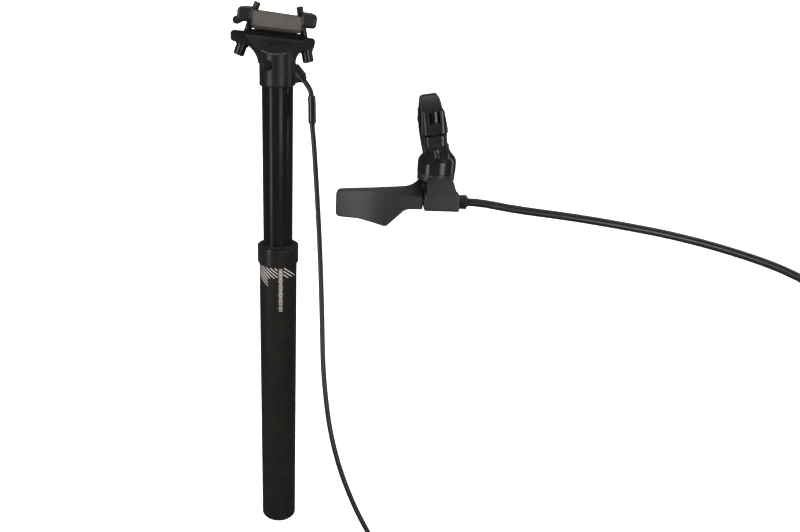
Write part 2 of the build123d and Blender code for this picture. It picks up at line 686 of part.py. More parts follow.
def bevelled_bar(start, end, radius, edge):
    """A round bar with its far rim bevelled."""
    length = (end - start).length
    body = Cylinder(radius, length, align=(Align.CENTER, Align.CENTER, Align.MIN))
    body = chamfer(body.edges().filter_by(GeomType.CIRCLE).group_by(Axis.Z)[-1], edge)
    return Plane(origin=start, z_dir=end - start) * body


def clamp_bolt(side):
    tip = bolt_point(side, BOLT_LENGTH)
    under, foot = bolt_point(side, -BOLT_HEAD), bolt_point(side, 0)
    body = bevelled_bar(foot, tip, BOLT_R, BOLT_EDGE) + bevelled_bar(foot, under, BOLT_HEAD_R, BOLT_EDGE)
    body -= bar(bolt_point(side, BOLT_LENGTH - 2.5), tip, BOLT_TIP_BORE_R)
    socket = Plane(origin=under, z_dir=under - foot)
    return in_clamp(body - socket * hexagon_pocket(BOLT_SOCKET_AF, BOLT_SOCKET_DEPTH))


def tilt_washers():
    washers = []
    for side in (-1, 1):
        body = bar(bolt_point(side, 0), bolt_point(side, TILT_WASHER), TILT_WASHER_R)
        washers.append(in_clamp(body - bar(bolt_point(side, -1), bolt_point(side, 5), BOLT_R)))
    return Compound(children=washers)


def barrel_nut(side):
    centre = bolt_point(side, NUT_RISE)
    body = cross_bar(centre.X, centre.Z, NUT_R, NUT_WIDTH / 2)
    return in_clamp(body - bar(bolt_point(side, 5), bolt_point(side, 40), BOLT_R + RUN))


# ---------------------------------------------------------------- remote: bar clamp
def in_ring(shape):
    """Place a shape of the bar clamp, which leans against the lever's axis."""
    return in_remote(Rot(0, RING_LEAN, 0) * shape)


def bar_ring(radius, half_width):
    """A round bar along the handlebar's axis, before the clamp's lean."""
    return Pos(0, RING_BACK, RING_HEIGHT) * Rot(0, 90, 0) * Cylinder(radius, 2 * half_width)


def ring_outline():
    """The bar clamp's rounded outline, seen from the front, as a prism."""
    half, top = LUG_WIDTH / 2, RING_HEIGHT + RING_R
    points = [(-half + 0.8, 0), (-half, RING_HEIGHT - 2), (-half + 1.4, top), (half - 2.0, top)]
    points += [(half, RING_HEIGHT), (half - 0.8, 0)]
    face = make_face(Polyline(*[(x, 0, z) for x, z in points], close=True))
    upper = face.vertices().group_by(Axis.Z)[-1]
    return extrude(fillet(upper, 2.6), amount=60, dir=(0, 1, 0), both=True)


def lug(low, high):
    """The cap's flat front, which takes the clamp bolt."""
    body = box((-LUG_WIDTH / 2, -LUG_FRONT, low), (LUG_WIDTH / 2, -LUG_FRONT + 9.0, high))
    return fillet(body.edges().filter_by(Axis.Z).group_by(Axis.Y)[0], LUG_ROUND)


def column(top):
    """The perch's front, which runs from the clamp bolt's thread down to the bell."""
    points = [(-LUG_FRONT, top), (-LUG_FRONT, top - 5), (-9.6, 10.0), (-8.2, 5.0), (7.0, 5.0), (9.0, top)]
    face = make_face(Polyline(*[(0, y, z) for y, z in points], close=True))
    body = extrude(face, amount=LUG_WIDTH / 2 - 0.6, dir=(1, 0, 0), both=True)
    return fillet(body.edges().filter_by(Axis.Z).group_by(Axis.Y)[0], LUG_ROUND)


def hinge_eye(half_width):
    return Pos(0, HINGE_BACK, RING_HEIGHT) * Rot(0, 90, 0) * Cylinder(HINGE_R, 2 * half_width)


def clamp_bolt_axis():
    return -LUG_FRONT + CLAMP_BOLT_HEAD_R + 0.9


def remote_perch():
    split = RING_HEIGHT - 2.0
    body = bar_ring(RING_R, LUG_WIDTH / 2) & box((-20, -40, -40), (20, 60, split - RING_SPLIT))
    body += column(split - RING_SPLIT)
    body &= ring_outline()
    body += box((-RING_WIDTH / 6 + 0.3, 16, RING_HEIGHT - 9), (RING_WIDTH / 6 - 0.3, HINGE_BACK, RING_HEIGHT))
    body += hinge_eye(RING_WIDTH / 6 - 0.3)
    body -= bar_ring(BAR_R, 30)
    body -= bar((0, clamp_bolt_axis(), 4), (0, clamp_bolt_axis(), 40), CLAMP_BOLT_R)
    body -= bar((-20, HINGE_BACK, RING_HEIGHT), (20, HINGE_BACK, RING_HEIGHT), HINGE_PIN_R)
    bell = turned([(0, -DRUM_DROP), (BELL_R, -DRUM_DROP)] + BELL + [(0, BELL[-1][1])])
    body = in_ring(body) + in_remote(bell)
    body -= in_ring(bar_ring(BAR_R, 30))
    return body - in_remote(bar((0, 0, -5), (0, 0, PIVOT_THREAD_TOP), PIVOT_BOLT_R))


def remote_clamp_cap():
    split = RING_HEIGHT - 2.0
    body = bar_ring(RING_R, LUG_WIDTH / 2) & box((-20, -40, split + RING_SPLIT), (20, 60, 60))
    body += lug(split + RING_SPLIT, split + LUG_HEIGHT)
    body &= ring_outline()
    for side in (-1, 1):
        near, far = sorted((side * (RING_WIDTH / 6 + 0.3), side * RING_WIDTH / 2))
        body += box((near, 19, RING_HEIGHT), (far, HINGE_BACK, RING_HEIGHT + 6))
        body += Pos((near + far) / 2, 0, 0) * hinge_eye((far - near) / 2)
    body -= box((-RING_WIDTH / 6 - 0.3, 16, 0), (RING_WIDTH / 6 + 0.3, 40, RING_HEIGHT + 7))
    body -= bar_ring(BAR_R, 30)
    body -= box((-20, 0, 0), (20, 22.6, RING_HEIGHT - RING_SPLIT))
    seat = split + LUG_HEIGHT - CLAMP_BOLT_HEAD
    body -= bar((0, clamp_bolt_axis(), 0), (0, clamp_bolt_axis(), 60), CLAMP_BOLT_R + GAP)
    body -= bar((0, clamp_bolt_axis(), seat), (0, clamp_bolt_axis(), 60), CLAMP_BOLT_HEAD_R + 0.1)
    body -= box((-CHANNEL / 2, -40, seat), (CHANNEL / 2, clamp_bolt_axis(), 60))
    return in_ring(body - bar((-20, HINGE_BACK, RING_HEIGHT), (20, HINGE_BACK, RING_HEIGHT), HINGE_PIN_R))


def clamp_hinge_pin():
    half = RING_WIDTH / 2 + 0.4
    return in_ring(bar((-half, HINGE_BACK, RING_HEIGHT), (half, HINGE_BACK, RING_HEIGHT), HINGE_PIN_R))


def remote_clamp_bolt():
    y = clamp_bolt_axis()
    seat = RING_HEIGHT - 2.0 + LUG_HEIGHT - CLAMP_BOLT_HEAD
    body = bar((0, y, seat), (0, y, seat + CLAMP_BOLT_HEAD), CLAMP_BOLT_HEAD_R)
    body += bar((0, y, RING_HEIGHT - 11), (0, y, seat), CLAMP_BOLT_R)
    return in_ring(body - Pos(0, y, seat + CLAMP_BOLT_HEAD) * hexagon_pocket(3.0, 2.0))


# ---------------------------------------------------------------- remote: base and lever
def taper_prism(x, z, width):
    """The base's front outline above its block, narrower at the top."""
    half = width / 2 - BLOCK_ROUND
    points = [(x - half, z - 3), (x - half, z + 3), (-4.8, 0), (6.6, 0), (x + half, z + 3), (x + half, z - 3)]
    return side_slab(points, 60)


def remote_base():
    width, depth, height = BLOCK_SIZE
    x, y, z = BLOCK_CENTRE
    drum = Pos(0, 0, -BASE_DROP) * Cylinder(
        BELL_R - 0.2, BASE_DROP - DRUM_DROP, align=(Align.CENTER, Align.CENTER, Align.MIN)
    )
    block = Pos(x, y, z) * Box(width, depth, height)
    block = fillet(block.edges(), BLOCK_ROUND)
    side = [
        (0, y - depth / 2, z + height / 2),
        (0, y - depth / 2, z - height / 2),
        (0, y + depth / 2 - 0.8, z - height / 2),
        (0, y + depth / 2 - 0.8, -BASE_DROP + 0.5),
        (0, -BELL_R + 0.6, -DRUM_DROP - 1.2),
    ]
    web = extrude(make_face(Polyline(*side, close=True)), amount=width, dir=(1, 0, 0))
    web = Pos(x - width / 2, 0, 0) * web & taper_prism(x, z, width)
    body = drum + block + web
    body -= bar((0, 0, -5), (0, 0, 5), PIVOT_BOLT_R)
    body -= bar((BARREL_IN, y, z), (40, y, z), BARREL_STUD_R + RUN)
    return in_remote(body - bar((-40, y, z), (40, y, z), WIRE_R + 0.4))


def paddle():
    """The thumb paddle: its front outline, its curved plan and its sloping top."""
    corners = [(x, 0, z) for x, z in LEVER_OUTLINE]
    outline = make_face(FilletPolyline(*corners, radius=LEVER_ROUNDS, close=True))
    front = [(x, y, -40) for x, y in LEVER_FRONT]
    back = [(x, y, -40) for x, y in LEVER_BACK]
    sides = [Line(front[-1], back[0]), Line(back[-1], front[0])]
    plan = make_face([Spline(*front), Spline(*back)] + sides)
    body = extrude(outline, amount=40, dir=(0, 1, 0), both=True) & extrude(plan, amount=80, dir=(0, 0, 1))
    first, second, third = [Vector(*point) for point in LEVER_TOP]
    top = Plane(origin=first, z_dir=(second - first).cross(third - first))
    return body - top * Pos(0, 0, 50) * Box(200, 200, 100)


def remote_lever():
    x, y, z = BLOCK_CENTRE
    body = paddle()
    height = HUB_BOTTOM - BASE_DROP - GAP
    body += Pos(0, 0, -HUB_BOTTOM) * Cylinder(HUB_R, height, align=(Align.CENTER, Align.CENTER, Align.MIN))
    body += box((LEVER_ROOT, -5.0, -HUB_BOTTOM), (0, 5.0, -BASE_DROP - 1.5))
    body -= bar((0, 0, -30), (0, 0, 0), BUSH_R)
    body -= bar((LEVER_ROOT + 1, y, z), (LEVER_ROOT - 10, y, z), WIRE_R + RUN)
    return in_remote(body - bar((LEVER_ROOT - 5, y, -40), (LEVER_ROOT - 5, y, z - WIRE_R), ANCHOR_R))


def lever_bushes():
    middle = -(HUB_BOTTOM + BASE_DROP) / 2
    bushes = []
    for low, high in ((-HUB_BOTTOM, middle - 1), (middle + 1, -BASE_DROP - GAP)):
        body = bar((0, 0, low), (0, 0, high), BUSH_R) - bar((0, 0, -40), (0, 0, 5), PIVOT_BOLT_R + RUN)
        bushes.append(in_remote(body))
    return Compound(children=bushes)


def lever_pivot_bolt():
    head_top = -HUB_BOTTOM - GAP / 2
    body = bar((0, 0, head_top), (0, 0, PIVOT_THREAD_TOP), PIVOT_BOLT_R)
    body += bar((0, 0, head_top - PIVOT_HEAD), (0, 0, head_top), PIVOT_HEAD_R)
    return in_remote(body - Pos(0, 0, head_top - PIVOT_HEAD) * Rot(180, 0, 0) * hexagon_pocket(4.0, 2.0))


def wire_clamp_screw():
    x, y, z = BLOCK_CENTRE
    body = bar((LEVER_ROOT - 5, y, -HUB_BOTTOM + 0.2), (LEVER_ROOT - 5, y, z - WIRE_R), ANCHOR_R)
    socket = Pos(LEVER_ROOT - 5, y, -HUB_BOTTOM + 0.2) * Rot(180, 0, 0) * hexagon_pocket(2.5, 1.6)
    return in_remote(body - socket)


def barrel_adjuster():
    x, y, z = BLOCK_CENTRE
    face = x + BLOCK_SIZE[0] / 2 + GAP
    body = bar((BARREL_IN, y, z), (face, y, z), BARREL_STUD_R)
    grip = bar((face, y, z), (face + BARREL_FLANGE, y, z), BARREL_R)
    for index in range(BARREL_FLUTES):
        turn = radians(index * 360 / BARREL_FLUTES)
        flute_y = y + (BARREL_R + 0.25) * cos(turn)
        flute_z = z + (BARREL_R + 0.25) * sin(turn)
        grip -= bar((face, flute_y, flute_z), (face + BARREL_FLANGE, flute_y, flute_z), 0.55)
    body += grip
    body -= bar((face + 0.6, y, z), (40, y, z), FERRULE_BORE_R)
    return in_remote(body - bar((-40, y, z), (40, y, z), WIRE_R + 0.4))


def remote_ferrule():
    x, y, z = BLOCK_CENTRE
    face = x + BLOCK_SIZE[0] / 2 + GAP
    body = bar((face + 0.6, y, z), (face + BARREL_FLANGE + 0.6, y, z), FERRULE_BORE_R - RUN)
    return in_remote(body - bar((-40, y, z), (40, y, z), WIRE_R + 0.4))


def remote_wire():
    x, y, z = BLOCK_CENTRE
    face = x + BLOCK_SIZE[0] / 2 + GAP
    return in_remote(bar((LEVER_ROOT - 9, y, z), (face + BARREL_FLANGE, y, z), WIRE_R))


# ---------------------------------------------------------------- cable
def corner_radii(points):
    """Arc radii for a route: 0.45 of the shorter run over the tangent of half the turn."""
    radii = []
    for before, corner, after in zip(points, points[1:], points[2:]):
        run_in = Vector(*corner) - Vector(*before)
        run_out = Vector(*after) - Vector(*corner)
        shorter = min(run_in.length, run_out.length)
        radii.append(0.45 * shorter / tan(radians(run_in.get_angle(run_out)) / 2))
    return radii


def route_path(points, radii):
    return FilletPolyline(*points, radius=radii) if radii else Line(*points)


def hose(path, radius):
    """A round solid along a path."""
    start = Plane(origin=path @ 0, z_dir=path % 0)
    return sweep(start * Circle(radius), path=path)


def middle_of(first, second):
    return tuple((a + b) / 2 for a, b in zip(first, second))


def housing(name, points):
    """One stretch of cable housing, with its radii, length and volume printed."""
    radii = corner_radii(points)
    path = route_path(points, radii)
    solid = hose(path, HOUSING_R)
    expected = path.length * pi * HOUSING_R**2
    print(name, "radii", [round(radius) for radius in radii])
    print(name, "length", round(path.length, 1), "volume", round(solid.volume), "of", round(expected))
    return solid


def cable_sleeve():
    """Short glossy sleeve over the housing, below the head."""
    start, corner = Vector(*ROUTE[2]), Vector(*ROUTE[3])
    end = start + (corner - start).normalized() * SLEEVE_LENGTH
    return bar(start, end, SLEEVE_OD / 2) - bar(start, end, HOUSING_R + GAP)


def build_parts():
    split = middle_of(ROUTE[HEAD_POINTS - 1], ROUTE[HEAD_POINTS])
    return {
        "outer_tube": outer_tube(),
        "seal_collar": seal_collar(),
        "wiper_seal": wiper_seal(),
        "foam_ring": foam_ring(),
        "upper_bushing": upper_bushing(),
        "bottom_cap": bottom_cap(),
        "rod_washer": rod_washer(),
        "rod_bolt": rod_bolt(),
        "bottom_bumper": bottom_bumper(),
        "piston_rod": piston_rod(),
        "gas_piston": gas_piston(),
        "piston_ring": piston_ring(),
        "inner_tube": inner_tube(),
        "lower_bushing": lower_bushing(),
        "guide_keys": guide_keys(),
        "cartridge_tube": cartridge_tube(),
        "cartridge_gland": cartridge_gland(),
        "valve_head": valve_head(),
        "cartridge_spacer": cartridge_spacer(),
        "snap_ring": snap_ring(),
        "release_pin": release_pin(),
        "post_head": post_head(),
        "head_ferrule": head_ferrule(),
        "actuator": actuator(),
        "actuator_screw": actuator_screw(),
        "wire_nipple": wire_nipple(),
        "head_wire": head_wire(),
        "rear_clamp_bolt": clamp_bolt(-1),
        "front_clamp_bolt": clamp_bolt(1),
        "tilt_washers": tilt_washers(),
        "rear_barrel_nut": barrel_nut(-1),
        "front_barrel_nut": barrel_nut(1),
        "rail_cradle": rail_cradle(),
        "upper_clamp": upper_clamp(),
        "remote_perch": remote_perch(),
        "remote_clamp_cap": remote_clamp_cap(),
        "clamp_hinge_pin": clamp_hinge_pin(),
        "remote_clamp_bolt": remote_clamp_bolt(),
        "remote_base": remote_base(),
        "remote_lever": remote_lever(),
        "lever_bushes": lever_bushes(),
        "lever_pivot_bolt": lever_pivot_bolt(),
        "wire_clamp_screw": wire_clamp_screw(),
        "barrel_adjuster": barrel_adjuster(),
        "remote_ferrule": remote_ferrule(),
        "remote_wire": remote_wire(),
        "housing_at_head": housing("housing_at_head", ROUTE[:HEAD_POINTS] + [split]),
        "housing_free": housing("housing_free", [split] + ROUTE[HEAD_POINTS:]),
        "cable_sleeve": cable_sleeve(),
    }


os.makedirs("parts", exist_ok=True)
for node, shape in build_parts().items():
    export_step(shape, f"parts/{node}.step")
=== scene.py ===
"""Studio scene of the height-adjustable seatpost: materials, cable, bare wires, printed marks and studio.

Metres throughout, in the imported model's frame: +Z up the post, +X to the bicycle's front.
"""
import bpy
import json
import math
from mathutils import Matrix, Vector


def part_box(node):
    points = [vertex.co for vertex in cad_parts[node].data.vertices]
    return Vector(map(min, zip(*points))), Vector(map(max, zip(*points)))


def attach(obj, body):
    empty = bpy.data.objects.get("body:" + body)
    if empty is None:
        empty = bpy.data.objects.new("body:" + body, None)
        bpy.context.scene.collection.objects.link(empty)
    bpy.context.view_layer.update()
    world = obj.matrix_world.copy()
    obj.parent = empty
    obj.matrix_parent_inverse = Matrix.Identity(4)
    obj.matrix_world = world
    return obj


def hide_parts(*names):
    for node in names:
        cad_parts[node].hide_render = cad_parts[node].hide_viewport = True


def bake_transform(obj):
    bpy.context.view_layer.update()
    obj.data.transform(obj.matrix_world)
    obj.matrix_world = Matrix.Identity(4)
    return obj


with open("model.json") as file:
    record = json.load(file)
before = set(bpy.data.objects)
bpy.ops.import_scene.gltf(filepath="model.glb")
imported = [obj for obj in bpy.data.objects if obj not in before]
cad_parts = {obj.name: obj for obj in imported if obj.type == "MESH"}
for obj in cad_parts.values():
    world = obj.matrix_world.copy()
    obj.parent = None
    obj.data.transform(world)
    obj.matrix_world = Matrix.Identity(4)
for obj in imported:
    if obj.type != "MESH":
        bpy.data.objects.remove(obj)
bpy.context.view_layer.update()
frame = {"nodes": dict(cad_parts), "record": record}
NODES = frame["nodes"]
MM = 0.001


# ---------------------------------------------------------------- materials
def new_material(name):
    """An empty node material with its shader joined to its output."""
    material = bpy.data.materials.new(name)
    material.use_nodes = True
    nodes = material.node_tree.nodes
    nodes.clear()
    output = nodes.new("ShaderNodeOutputMaterial")
    shader = nodes.new("ShaderNodeBsdfPrincipled")
    material.node_tree.links.new(shader.outputs["BSDF"], output.inputs["Surface"])
    return material, shader


def noise_at(material, scale, detail=4.0, stretch=(1, 1, 1)):
    """Noise in the part's own coordinates, as a 0 to 1 value."""
    tree = material.node_tree
    place = tree.nodes.new("ShaderNodeTexCoord")
    mapping = tree.nodes.new("ShaderNodeMapping")
    mapping.inputs["Scale"].default_value = stretch
    pattern = tree.nodes.new("ShaderNodeTexNoise")
    pattern.inputs["Scale"].default_value = scale
    pattern.inputs["Detail"].default_value = detail
    tree.links.new(place.outputs["Object"], mapping.inputs["Vector"])
    tree.links.new(mapping.outputs["Vector"], pattern.inputs["Vector"])
    return pattern.outputs["Fac"]


def between(material, value, low, high):
    """Stretch a 0 to 1 value to a range."""
    node = material.node_tree.nodes.new("ShaderNodeMapRange")
    node.inputs["From Min"].default_value = 0.3
    node.inputs["From Max"].default_value = 0.7
    node.inputs["To Min"].default_value = low
    node.inputs["To Max"].default_value = high
    material.node_tree.links.new(value, node.inputs["Value"])
    return node.outputs["Result"]


def two_tone(material, value, dark, light):
    """Colour that drifts between two tones with a value."""
    ramp = material.node_tree.nodes.new("ShaderNodeValToRGB")
    ramp.color_ramp.elements[0].position = 0.35
    ramp.color_ramp.elements[1].position = 0.65
    ramp.color_ramp.elements[0].color = (*dark, 1)
    ramp.color_ramp.elements[1].color = (*light, 1)
    material.node_tree.links.new(value, ramp.inputs["Fac"])
    return ramp.outputs["Color"]


DRIFT_SCALE = 60.0
GRAIN_DETAIL = 6.0
RELIEF_DEPTH = 0.0002
BEVEL_SAMPLES = 6


def surface(
    name, dark, light, rough, grain, bump, specular=0.5, metallic=0.0, stretch=(1, 1, 1), edge=0.0, glow=0.0
):
    """A finish with drifting colour and roughness, a fine grain, and rounded edges if edge is set."""
    material, shader = new_material(name)
    links = material.node_tree.links
    drift = noise_at(material, DRIFT_SCALE, stretch=stretch)
    fine = noise_at(material, grain, GRAIN_DETAIL, stretch)
    links.new(two_tone(material, drift, dark, light), shader.inputs["Base Color"])
    links.new(between(material, fine, rough[0], rough[1]), shader.inputs["Roughness"])
    shader.inputs["Metallic"].default_value = metallic
    shader.inputs["Specular IOR Level"].default_value = specular
    shader.inputs["Emission Color"].default_value = (1, 1, 1, 1)
    shader.inputs["Emission Strength"].default_value = glow
    relief = material.node_tree.nodes.new("ShaderNodeBump")
    relief.inputs["Strength"].default_value = bump
    relief.inputs["Distance"].default_value = RELIEF_DEPTH
    links.new(fine, relief.inputs["Height"])
    if edge:
        bevel = material.node_tree.nodes.new("ShaderNodeBevel")
        bevel.samples = BEVEL_SAMPLES
        bevel.inputs["Radius"].default_value = edge
        links.new(bevel.outputs["Normal"], relief.inputs["Normal"])
    links.new(relief.outputs["Normal"], shader.inputs["Normal"])
    return material


def paint_shade_on_ends(material, start, end, shade):
    """Painted shade: darken a material's colour beyond a distance to either side of the middle, front and rear.
    """
    tree = material.node_tree
    shader = next(node for node in tree.nodes if node.type == "BSDF_PRINCIPLED")
    colour = shader.inputs["Base Color"].links[0].from_socket
    place = tree.nodes.new("ShaderNodeTexCoord")
    split = tree.nodes.new("ShaderNodeSeparateXYZ")
    size = tree.nodes.new("ShaderNodeMath")
    size.operation = "ABSOLUTE"
    reach = tree.nodes.new("ShaderNodeMapRange")
    reach.inputs["From Min"].default_value = start
    reach.inputs["From Max"].default_value = end
    mix = tree.nodes.new("ShaderNodeMixRGB")
    mix.inputs["Color2"].default_value = (*shade, 1)
    tree.links.new(place.outputs["Object"], split.inputs["Vector"])
    tree.links.new(split.outputs["X"], size.inputs[0])
    tree.links.new(size.outputs["Value"], reach.inputs["Value"])
    tree.links.new(reach.outputs["Result"], mix.inputs["Fac"])
    tree.links.new(colour, mix.inputs["Color1"])
    tree.links.new(mix.outputs["Color"], shader.inputs["Base Color"])
    return material


FINISH = {
    "outer_tube_finish": surface(
        "matte_anodised", (0.0055, 0.0048, 0.004), (0.0075, 0.0066, 0.0055), (0.42, 0.5), 2600.0, 0.12, 0.16
    ),
    "inner_tube_finish": surface(
        "gloss_anodised", (0.004, 0.004, 0.004), (0.006, 0.0058, 0.0056), (0.2, 0.24), 900.0, 0.01, 0.11,
        stretch=(1, 1, 0.04),
    ),
    "collar_finish": surface(
        "turned_anodised", (0.005, 0.005, 0.005), (0.008, 0.0076, 0.0072), (0.2, 0.24), 1500.0, 0.01, 0.3,
        stretch=(0.1, 0.1, 1), edge=0.0005,
    ),
    "head_finish": surface(
        "satin_forging", (0.005, 0.0047, 0.0044), (0.008, 0.0075, 0.007), (0.3, 0.4), 1800.0, 0.1, 0.2,
        edge=0.0009,
    ),
    "clamp_finish": surface(
        "satin_clamp", (0.007, 0.0066, 0.0062), (0.012, 0.0112, 0.0105), (0.26, 0.36), 1800.0, 0.1, 0.24,
        edge=0.0009,
    ),
    "bolt_steel": surface(
        "black_oxide_steel", (0.02, 0.02, 0.021), (0.035, 0.034, 0.033), (0.22, 0.34), 1400.0, 0.06,
        metallic=0.85, edge=0.0003,
    ),
    "barrel_nut_finish": surface(
        "dark_plated_steel", (0.05, 0.048, 0.046), (0.09, 0.086, 0.082), (0.25, 0.36), 1400.0, 0.05,
        metallic=0.9, edge=0.0004,
    ),
    "seal_rubber": surface(
        "seal_rubber", (0.006, 0.006, 0.006), (0.01, 0.01, 0.0098), (0.5, 0.65), 2200.0, 0.15, 0.15
    ),
    "foam": surface("oiled_foam", (0.1, 0.1, 0.09), (0.2, 0.2, 0.18), (0.8, 0.95), 1500.0, 0.6, 0.2),
    "bushing_polymer": surface(
        "bearing_polymer", (0.5, 0.47, 0.36), (0.62, 0.58, 0.46), (0.4, 0.5), 900.0, 0.05
    ),
    "brass_keys": surface(
        "drawn_brass", (0.55, 0.38, 0.13), (0.68, 0.5, 0.2), (0.2, 0.34), 900.0, 0.05,
        metallic=1.0, stretch=(1, 1, 0.1),
    ),
    "chromed_rod": surface(
        "hard_chrome", (0.5, 0.5, 0.52), (0.6, 0.6, 0.62), (0.05, 0.1), 700.0, 0.01, metallic=1.0
    ),
    "cartridge_finish": surface(
        "cartridge_alloy", (0.3, 0.3, 0.31), (0.4, 0.4, 0.41), (0.25, 0.38), 900.0, 0.04,
        metallic=0.9, stretch=(1, 1, 0.1),
    ),
    # Painted light and shade: the clamp's lighter base colour stands for its lit middle face, and its ends
    # beyond 16 mm are darkened as painted shade.
    "upper_clamp": paint_shade_on_ends(
        surface(
            "satin_upper_clamp_painted_light_and_shade", (0.046, 0.041, 0.037), (0.058, 0.052, 0.047), (0.3, 0.38), 2000.0, 0.08, 0.25,
            edge=0.0009,
        ),
        0.016, 0.0185, (0.007, 0.0064, 0.006),
    ),
    "lever_finish": surface(
        "bead_blasted", (0.009, 0.0088, 0.0086), (0.013, 0.0128, 0.0123), (0.34, 0.44), 3200.0, 0.12, 0.32,
        edge=0.0011,
    ),
    "remote_finish": surface(
        "gloss_alloy", (0.006, 0.0055, 0.0052), (0.01, 0.0094, 0.009), (0.16, 0.24), 1200.0, 0.04, 0.2,
        edge=0.0006,
    ),
    "housing_jacket": surface(
        "housing_jacket", (0.005, 0.005, 0.005), (0.008, 0.008, 0.0078), (0.28, 0.38), 1600.0, 0.06, 0.3
    ),
    "sleeve_plastic": surface(
        "sleeve_plastic", (0.004, 0.004, 0.004), (0.006, 0.006, 0.006), (0.1, 0.16), 1200.0, 0.02, 0.5
    ),
    "inner_wire": surface(
        "steel_wire", (0.35, 0.35, 0.35), (0.5, 0.5, 0.5), (0.2, 0.3), 900.0, 0.2, metallic=1.0
    ),
    "floor": surface(
        "floor_paper", (0.87, 0.87, 0.87), (0.89, 0.89, 0.89), (0.75, 0.85), 300.0, 0.02, 0.1, glow=0.62
    ),
    # Painted highlight: the bright colour of the seat marks stands for glints off the seat's serration teeth.
    "marks": surface("painted_serration_glints", (0.35, 0.34, 0.33), (0.5, 0.49, 0.47), (0.3, 0.4), 900.0, 0.02, metallic=0.6),
    "print": surface("printed_ink", (0.3, 0.29, 0.28), (0.42, 0.41, 0.4), (0.45, 0.6), 1500.0, 0.05, 0.4),
}

OWN_FINISH = ("upper_clamp",)  # CAD nodes with a finish of their own; the upper clamp's paints a lit middle and shaded ends

for part in frame["record"]["subparts"]:
    node = part["node"]
    mesh = NODES[node].data
    mesh.materials.clear()
    mesh.materials.append(FINISH[node if node in OWN_FINISH else part["material_slot"]])


# ---------------------------------------------------------------- mesh helpers
def piece(name, points, faces, finish, body=None, smooth=True):
    """A mesh object in the model's frame, with a finish, that rides on a body."""
    mesh = bpy.data.meshes.new(name)
    mesh.from_pydata(points, [], faces)
    mesh.update()
    if smooth:
        mesh.shade_smooth()
    made = bpy.data.objects.new(name, mesh)
    bpy.context.scene.collection.objects.link(made)
    mesh.materials.append(FINISH[finish])
    if body:
        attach(made, body)
    return made


def tube_along(path, radius_at, sides=24):
    """Points and faces of a closed round tube along a line of points.

    radius_at gives its radius at a share of its points.
    """
    points, faces = [], []
    side = (path[1] - path[0]).normalized().orthogonal().normalized()
    for index, centre in enumerate(path):
        ahead = path[min(index + 1, len(path) - 1)]
        behind = path[max(index - 1, 0)]
        tangent = (ahead - behind).normalized()
        side = (side - tangent * side.dot(tangent)).normalized()
        other = tangent.cross(side)
        radius = radius_at(index / (len(path) - 1))
        for step in range(sides):
            turn = step * math.tau / sides
            points.append(centre + (side * math.cos(turn) + other * math.sin(turn)) * radius)
    for index in range(len(path) - 1):
        for step in range(sides):
            after = (step + 1) % sides
            low, high = index * sides, (index + 1) * sides
            faces.append((low + step, low + after, high + after, high + step))
    faces.append(tuple(reversed(range(sides))))
    faces.append(tuple(range(len(points) - sides, len(points))))
    return points, faces


# ---------------------------------------------------------------- cable
ROUTE_MM = [
    (20.0, -5.0, 408.0),
    (24.3, -6.9, 402.8),
    (26.3, -8.6, 396.5),
    (26.42, -14.9, 374.9),
    (27.6, -18.5, 366.0),
    (30.0, -31.0, 331.0),
    (32.6, -47.0, 286.0),
    (34.2, -63.0, 239.0),
    (35.2, -79.0, 192.0),
    (42.2, -95.0, 142.0),
    (59.0, -109.5, 96.0),
    (84.0, -122.0, 54.0),
    (119.0, -138.0, 22.0),
    (166.0, -158.0, 9.0),
    (219.0, -178.0, 15.0),
    (270.0, -198.0, 42.0),
    (309.0, -214.0, 84.0),
    (333.0, -225.0, 138.0),
    (341.0, -233.0, 196.0),
    (334.0, -238.0, 254.0),
    (306.0, -239.0, 304.0),
    (261.0, -236.0, 339.0),
    (206.0, -230.5, 357.0),
    (152.0, -225.0, 366.2),
    (117.6, -220.24, 369.6),
    (100.7, -218.32, 372.7),
    (94.758, -217.638, 372.7),
]
HOUSING_DIAMETER = 4.0 * MM
SLEEVE_START = 12.8 * MM
SLEEVE_LENGTH = 21.4 * MM
SLEEVE_RADIUS = 3.05 * MM
SLEEVE_ROUND = 0.35 * MM
SLEEVE_ROUND_SHARE = 0.06  # share of the sleeve's length that each rounded mouth takes


def smooth_route():
    """Points along the cable's smooth line: a NURBS curve with the route as its control points."""
    curve = bpy.data.curves.new("route", "CURVE")
    curve.dimensions = "3D"
    curve.resolution_u = 16
    spline = curve.splines.new("NURBS")
    spline.points.add(len(ROUTE_MM) - 1)
    for point, place in zip(spline.points, ROUTE_MM):
        point.co = (*(Vector(place) * MM), 1.0)
    spline.order_u = 3
    spline.use_endpoint_u = True
    holder = bpy.data.objects.new("route", curve)
    bpy.context.scene.collection.objects.link(holder)
    line = bpy.data.meshes.new_from_object(holder)
    points = [vertex.co.copy() for vertex in line.vertices]
    bpy.data.objects.remove(holder)
    bpy.data.meshes.remove(line)
    return points


def stretch_of(path, start, length):
    """The part of a line that begins start along it and is so long."""
    kept, travelled = [], 0.0
    for before, after in zip(path, path[1:]):
        if start <= travelled <= start + length:
            kept.append(before)
        travelled += (after - before).length
    return kept


def bend_with_post(made):
    """Bake the object's placement into its mesh; the cable stays where it is drawn and doesn't follow the post.
    """
    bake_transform(made)


def sleeve_radius(share):
    """The sleeve is straight, with a small round at each mouth."""
    end = min(share, 1 - share)
    return SLEEVE_RADIUS - SLEEVE_ROUND * max(0.0, 1 - end / SLEEVE_ROUND_SHARE)


def make_cable():
    path = smooth_route()
    points, faces = tube_along(path, lambda share: HOUSING_DIAMETER / 2)
    housing = piece("cable_housing", points, faces, "housing_jacket")
    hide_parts("housing_at_head", "housing_free")
    bend_with_post(housing)
    points, faces = tube_along(stretch_of(path, SLEEVE_START, SLEEVE_LENGTH), sleeve_radius, 32)
    sleeve = piece("cable_sleeve_glossy", points, faces, "sleeve_plastic")
    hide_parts("cable_sleeve")
    bend_with_post(sleeve)


make_cable()


